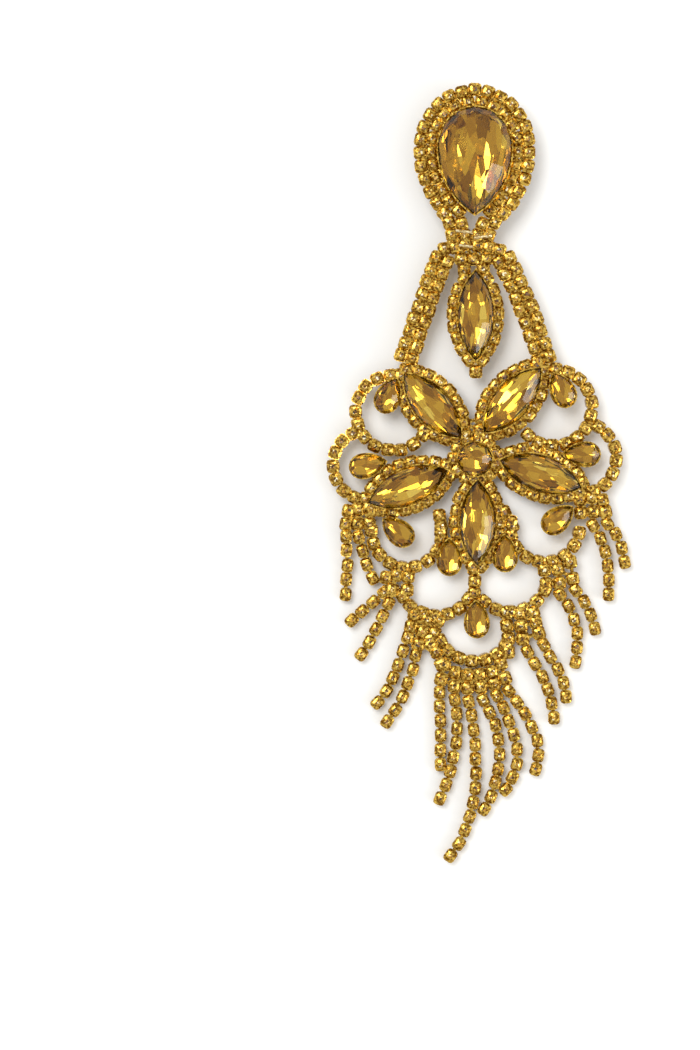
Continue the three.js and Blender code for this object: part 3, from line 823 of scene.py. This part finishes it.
# The small pears: cut glass in cast settings of their own, soldered by the tip inside each loop.
PEAR_WIDTH = 4.5
PEAR_LENGTH = 6.7
PEAR_METAL = 0.5
PEAR_SHOULDER = 0.36
PEAR_SEAT = 1.5
PEAR_CROWN = 0.9
PEAR_FACETS = 8
PEAR_FLAKES = 5
PEAR_CORNERS = 24
PEAR_TAPER = 0.5
PEARS = (
    ((13.4, 14.9), (16.4, 9.0)),
    ((-13.3, 14.0), (-16.2, 8.0)),
    ((15.2, 0.9), (21.5, 0.8)),
    ((-15.3, -0.4), (-21.4, -1.7)),
    ((17.0, -8.1), (11.8, -12.4)),
    ((-15.9, -10.1), (-10.7, -14.6)),
    ((5.1, -12.9), (5.3, -19.4)),
    ((-4.4, -13.6), (-4.3, -20.0)),
    ((0.2, -24.4), (0.5, -30.7)),
)
pear_shape = pear_outline(PEAR_WIDTH - PEAR_METAL, PEAR_LENGTH - PEAR_METAL, PEAR_SHOULDER)
pear_stone = cut_stone(
    "pear_crystal", pear_shape, PEAR_WIDTH, PEAR_FACETS, PEAR_SEAT, PEAR_CROWN, PEAR_FLAKES
)
pear_tray = tray("pear_setting", pear_shape, PEAR_WIDTH, PEAR_LENGTH, PEAR_CORNERS, PEAR_SEAT, PEAR_TAPER)
for number, (tip, end) in enumerate(PEARS, 1):
    along = Vector(tip) - Vector(end)
    middle = (Vector(tip) + Vector(end)) / 2
    place = stone_place(*middle, math.degrees(math.atan2(along.y, along.x)))
    pear = join_parts(f"small_pear_{number}", [pear_stone.copy(), pear_tray.copy()])
    finish_piece(pear, IN_LATTICE @ place, "root", [f"pear_{number}"])


# The fringe: eighteen strands of cup chain, each lying down from its comb to the surface in the curve that
# it fell in. A strand is given by its first cup, its first and last headings in degrees from straight down
# towards +X, how late it bends, and how many cups it has.
LANDING_CUPS = 4
STRAND_CUP_LENGTH = 2.35
STRAND_CUP_WIDTH = 2.0
STRANDS = (
    (-6.0, -40.2, 2, 0, 1, 6),
    (-3.4, -41.5, 12, -24, 0.8, 8),
    (-0.9, -41.9, 9, -37, 1.9, 12),
    (1.5, -41.5, 35, -30, 0.9, 9),
    (3.8, -40.8, 29, -40, 1.9, 8),
    (6.0, -39.9, 36, -20, 2.2, 7),
    (9.2, -33.2, 33, 5, 1.5, 6),
    (11.9, -32.0, 31, 5, 2.5, 5),
    (14.8, -23.3, 46, -14, 0.8, 6),
    (17.5, -22.6, 40, 12, 1, 4),
    (20.5, -11.4, 34, -4, 0.8, 6),
    (22.9, -11.0, 46, 8, 0.8, 4),
    (-11.5, -30.8, -19, -44, 3, 6),
    (-10.1, -33.9, -9, -34, 0.8, 6),
    (-15.5, -23.0, -50, -48, 1, 4),
    (-14.8, -24.9, -24, -34, 1.3, 5),
    (-22.1, -13.3, 4, -6, 1, 5),
    (-19.9, -13.4, 12, 26, 1, 4),
)


def strand_cups(x, y, start, end, bend, count):
    """Middles of a strand's cups on the surface, each with its heading."""
    lift = max(0.0, (y - REST_Y) * math.tan(LEAN))
    places = []
    height = lift
    for number in range(count):
        share = min(1.0, (number + 0.5) / (count - 1))
        heading = math.radians(start + (end - start) * share ** bend)
        places.append((Vector((x, y, height)), heading - math.pi / 2))
        x += STRAND_PITCH * math.sin(heading)
        y -= STRAND_PITCH * math.cos(heading)
        height = lift * max(0.0, 1 - (number + 1) / LANDING_CUPS) ** 2
    return places


for number, strand in enumerate(STRANDS, 1):
    places = strand_cups(*strand)
    parts = []
    for at, heading in places:
        part = cup.copy()
        longer = Matrix.Diagonal((STRAND_CUP_LENGTH / CUP_LENGTH, STRAND_CUP_WIDTH / CUP_WIDTH, 1, 1))
        part.matrix_world = Matrix.Translation(at) @ Matrix.Rotation(heading, 4, "Z") @ longer @ uneven()
        parts.append(part)
    for (here, _), (there, _) in zip(places, places[1:]):
        part = link.copy()
        heading = (there - here).to_track_quat("X", "Z").to_matrix().to_4x4()
        part.matrix_world = Matrix.Translation((here + there) / 2) @ heading
        parts.append(part)
    chain = join_parts(f"fringe_strand_{number}", parts)
    finish_piece(chain, ON_SURFACE, "root", [f"strand_{number}"])


# The ear clip behind the head, hidden in the photograph: one strip of brass, bent and plated with the rest.
# Its shape in the frame is right, so it stays and gets the chain's plating.
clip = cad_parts["ear_clip"]
clip.data.materials.clear()
clip.data.materials.append(plated_brass)

for master in (cup, link, petal_stone, petal_tray, pear_stone, pear_tray):
    bpy.data.objects.remove(master)


# The floor: a sheet of matt white card, large enough to fill the view, which takes soft shadows and gives no
# reflections. It lies just below the earring, clear of the uneven feet of the cups.
FLOOR_SIZE = 3.0
FLOOR_DROP = 0.2 * MM
deselect_all()
bpy.ops.mesh.primitive_plane_add(size=FLOOR_SIZE, location=(0, 0, -FLOOR_DROP))
floor = bpy.context.object
floor.name = "floor"
card, tree, shader, place = new_material("white_card")
shader.inputs["Base Color"].default_value = linear("#F6F6F4")
shader.inputs["Roughness"].default_value = 0.9
floor.data.materials.append(card)


# Soft studio light: a softbox high at the upper left, one low at the right for the sides of the cups, and a
# pale room that keeps the shadows light.
def softbox(name, location, size, power):
    bpy.ops.object.light_add(type="AREA", location=location)
    light = bpy.context.object
    light.name = name
    light.data.size = size
    light.data.energy = power
    light.rotation_euler = Vector(location).to_track_quat("Z", "Y").to_euler()


softbox("key_light", (-0.33, 0.33, 0.8), 0.5, 4.6)
softbox("right_light", (0.78, -0.26, 0.34), 0.45, 3.4)
world = bpy.data.worlds.new("pale_room")
world.use_nodes = True
world.node_tree.nodes["Background"].inputs["Color"].default_value = linear("#FFFFFF")
world.node_tree.nodes["Background"].inputs["Strength"].default_value = 0.72
bpy.context.scene.world = world
bpy.context.scene.view_settings.view_transform = "Standard"


# The camera looks straight down on the middle of the photograph's frame, of which the earring fills the
# right-hand half. The photograph is 700 by 1050 pixels, and a pixel is 0.172 mm.
PIXEL = 0.172
FRAME_WIDTH = 700
FRAME_HEIGHT = 1050
FLOWER_COLUMN = 474.7
FLOWER_ROW = 458.8
LENS = 100
SENSOR = 36
STONES_HEIGHT = 3.0
view_x = flower_x + (FRAME_WIDTH / 2 - FLOWER_COLUMN) * PIXEL
view_y = flower_y + (FLOWER_ROW - FRAME_HEIGHT / 2) * PIXEL
view_height = FRAME_HEIGHT * PIXEL * LENS / SENSOR + STONES_HEIGHT
bpy.ops.object.camera_add(location=Vector((view_x, view_y, view_height)) * MM, rotation=(0, 0, 0))
camera = bpy.context.object
camera.data.lens = LENS
camera.data.sensor_width = SENSOR
bpy.context.scene.camera = camera
